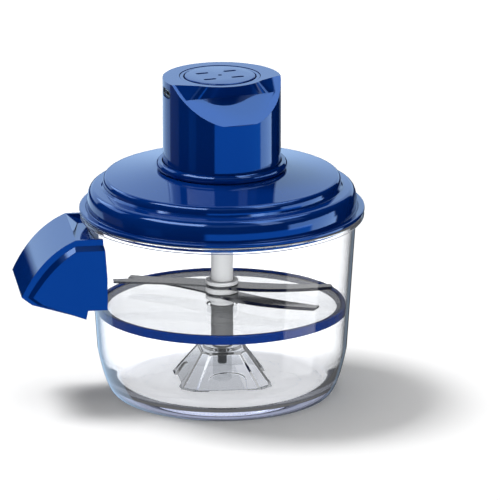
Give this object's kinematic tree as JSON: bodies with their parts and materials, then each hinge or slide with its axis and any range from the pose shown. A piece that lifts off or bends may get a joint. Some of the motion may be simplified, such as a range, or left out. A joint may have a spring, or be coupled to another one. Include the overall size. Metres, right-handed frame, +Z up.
{
  "type": "vegetable chopper",
  "caption": "Cordless chopper: clear round bowl with pull handle and raised tray, curved blades on a white spindle, stepped blue lid and motor head with a push button.",
  "frame": {"origin": "centre of the bowl's flat underside", "axes": "+Z up along the spindle, -X towards the handle, -Y towards the front"},
  "size_m": [0.202, 0.165, 0.1873],
  "materials": {
    "blue_gloss": "high gloss royal blue moulding",
    "navy_plastic": "smooth dark blue moulding",
    "clear_plastic": "clear polished plastic",
    "white_plastic": "smooth white moulding",
    "polished_steel": "polished stainless steel",
    "plain_steel": "plain steel",
    "pinion_brass": "turned brass",
    "seal_silicone": "translucent silicone",
    "black_plastic": "matt black moulding",
    "board_laminate": "green laminate",
    "cell_sleeve": "shrunk plastic sleeve"
  },
  "bodies": {
    "bowl": {"bowl": "clear_plastic", "pivot_pedestal": "clear_plastic", "pivot_pin": "polished_steel", "handle_shell": "blue_gloss", "handle_saddle": "navy_plastic", "handle_screw_upper": "plain_steel", "handle_screw_lower": "plain_steel"},
    "tray": {"tray_ring": "blue_gloss", "tray_plate": "clear_plastic"},
    "spindle": {"spindle_shaft": "white_plastic", "blade_lower": "polished_steel", "blade_upper": "polished_steel", "blade_seat": "white_plastic", "blade_spacer": "white_plastic", "blade_cap": "white_plastic"},
    "lid": {"lid_shell": "blue_gloss", "lid_seal": "seal_silicone", "shaft_bushing": "white_plastic", "collar_ring": "blue_gloss"},
    "head": {"head_housing": "blue_gloss", "head_base": "navy_plastic", "base_screw_1": "plain_steel", "base_screw_2": "plain_steel", "base_screw_3": "plain_steel", "button_bezel": "blue_gloss", "button_spring": "plain_steel", "ring_gear": "white_plastic", "motor_can": "plain_steel", "motor_plate": "plain_steel", "cell_1": "cell_sleeve", "cell_2": "cell_sleeve", "cell_3": "cell_sleeve", "cell_cradle": "black_plastic", "control_board": "board_laminate", "push_switch": "black_plastic", "port_surround": "black_plastic", "charge_socket": "plain_steel"},
    "button": {"button_cap": "blue_gloss"},
    "carrier": {"planet_carrier": "white_plastic"},
    "rotor": {"sun_pinion": "pinion_brass", "motor_shaft": "plain_steel"},
    "planet_1": {"planet_gear_1": "white_plastic"},
    "planet_2": {"planet_gear_2": "white_plastic"},
    "planet_3": {"planet_gear_3": "white_plastic"}
  },
  "joints": [
    {"name": "lid_lift", "type": "slide", "parent": "bowl", "child": "lid", "axis": [0, 0, 1], "range_m": [0, 0.12]},
    {"name": "head_lift", "type": "slide", "parent": "lid", "child": "head", "axis": [0, 0, 1], "range_m": [0, 0.07]},
    {"name": "tray_lift", "type": "slide", "parent": "bowl", "child": "tray", "axis": [0, 0, 1], "range_m": [0, 0.002]},
    {"name": "button_press", "type": "slide", "parent": "head", "child": "button", "axis": [0, 0, -1], "range_m": [0, 0.0015], "stiffness_N_per_m": 500, "springref_m": -0.001, "deforming": ["button_spring"]},
    {"name": "spindle_spin", "type": "hinge", "parent": "bowl", "child": "spindle", "pos_m": [0, 0, 0.03], "axis": [0, 0, 1], "continuous": true},
    {"name": "output_spin", "type": "hinge", "parent": "head", "child": "carrier", "pos_m": [0, 0, 0.138], "axis": [0, 0, 1], "continuous": true},
    {"name": "pinion_spin", "type": "hinge", "parent": "head", "child": "rotor", "pos_m": [0, 0, 0.1455], "axis": [0, 0, 1], "continuous": true},
    {"name": "planet_1_spin", "type": "hinge", "parent": "carrier", "child": "planet_1", "pos_m": [0.00794, 0.00161, 0.1455], "axis": [0, 0, 1], "continuous": true},
    {"name": "planet_2_spin", "type": "hinge", "parent": "carrier", "child": "planet_2", "pos_m": [-0.00537, 0.00607, 0.1455], "axis": [0, 0, 1], "continuous": true},
    {"name": "planet_3_spin", "type": "hinge", "parent": "carrier", "child": "planet_3", "pos_m": [-0.00257, -0.00768, 0.1455], "axis": [0, 0, 1], "continuous": true}
  ],
  "couplings": [
    {"joint": "output_spin", "follows": "spindle_spin", "ratio": 1},
    {"joint": "pinion_spin", "follows": "spindle_spin", "ratio": 4.5},
    {"joint": "planet_1_spin", "follows": "spindle_spin", "ratio": -2.8},
    {"joint": "planet_2_spin", "follows": "spindle_spin", "ratio": -2.8},
    {"joint": "planet_3_spin", "follows": "spindle_spin", "ratio": -2.8}
  ]
}
